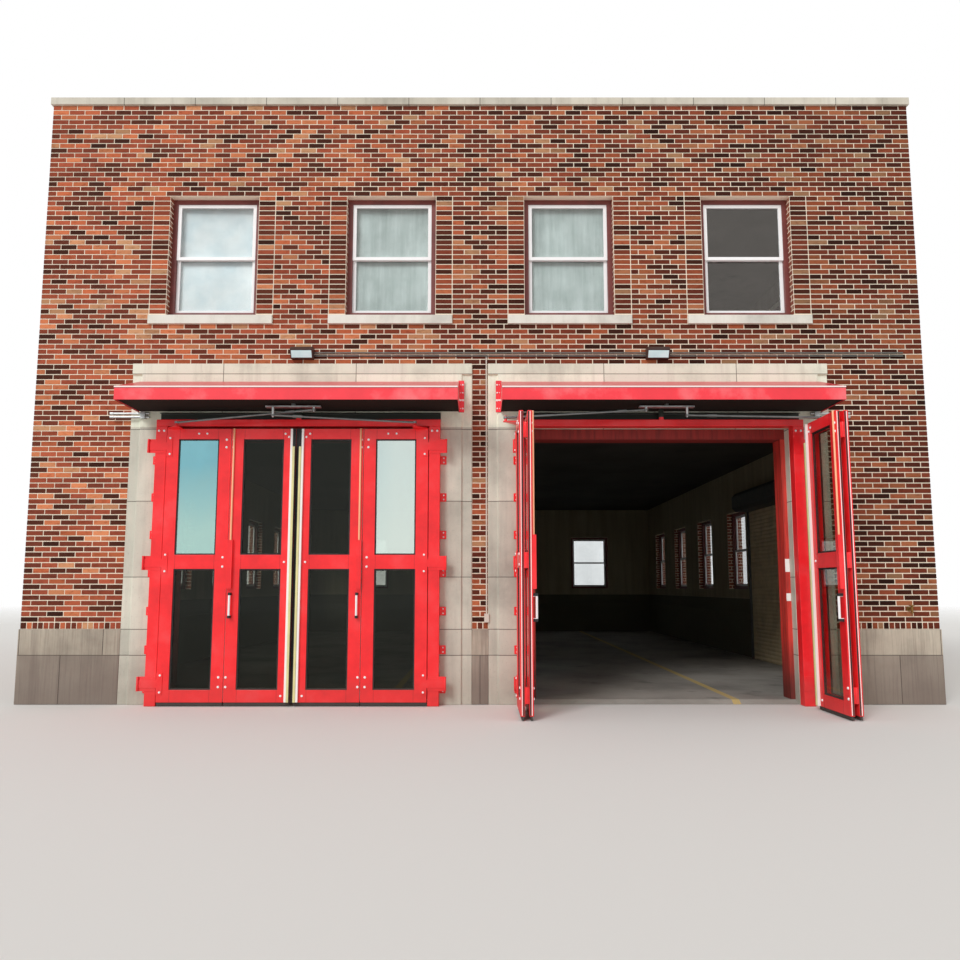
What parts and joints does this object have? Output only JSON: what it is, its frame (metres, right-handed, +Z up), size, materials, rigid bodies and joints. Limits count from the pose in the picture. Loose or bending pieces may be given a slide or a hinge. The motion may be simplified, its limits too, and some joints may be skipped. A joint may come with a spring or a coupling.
{
  "type": "two-bay brick fire station building",
  "caption": "Two-storey brick fire station with limestone vehicle bay surrounds, four-fold bay doors, canopies and sash windows.",
  "frame": {"origin": "middle of the plan at ground level, on the underside of the hall floor", "axes": "+X to the right along the front seen from the street, +Y back from the street, +Z up"},
  "size_m": [11.9444, 17.522, 8.2697],
  "materials": {
    "concrete": "floated concrete",
    "roofing": "grey roof felt",
    "limestone": "sawn limestone",
    "brick": "mixed red face brick in cream mortar",
    "red_timber": "worn red paint",
    "maroon_paint": "satin",
    "white_paint": "satin",
    "window_glass": "clear",
    "blind": "matt",
    "shutter": "satin",
    "shutter_steel": "satin",
    "door_red": "gloss",
    "door_glass": "dark tinted",
    "seal_rubber": "matt",
    "bright_steel": "satin",
    "canopy_red": "satin",
    "bronze": "satin",
    "lens": "frosted",
    "galvanised": "dull",
    "brass": "weathered"
  },
  "bodies": {
    "root": {"ground_floor": "concrete", "upper_floor": "concrete", "roof_slab": "roofing", "base_front": "limestone", "base_sides": "limestone", "base_rear": "limestone", "front_wall_ends": "brick", "front_pier": "brick", "front_wall_upper": "brick", "left_wall": "brick", "right_wall": "brick", "rear_wall": "brick", "coping_front_rear": "limestone", "coping_sides": "limestone", "surround_jambs": "limestone", "surround_heads": "limestone", "timber_jambs": "red_timber", "timber_lintels": "red_timber", "window_sills": "limestone", "window_frames": "maroon_paint", "upper_sashes": "white_paint", "lower_sashes": "white_paint", "window_glass": "window_glass", "window_blinds": "blind", "roller_shutter": "shutter", "shutter_guides": "shutter_steel", "shutter_hood": "shutter_steel", "door_posts": "door_red", "door_headers": "door_red", "jamb_leaves": "door_red", "lead_leaves": "door_red", "door_glass": "door_glass", "door_seals": "seal_rubber", "door_hinges": "door_red", "door_handles": "bright_steel", "lock_rods": "door_red", "canopies": "canopy_red", "drive_cranks": "bright_steel", "drive_rods": "bright_steel", "drive_levers": "door_red", "wall_lights": "bronze", "light_lenses": "lens", "light_conduits": "galvanised", "side_tubes": "bright_steel", "hose_tap": "brass"}
  },
  "joints": []
}
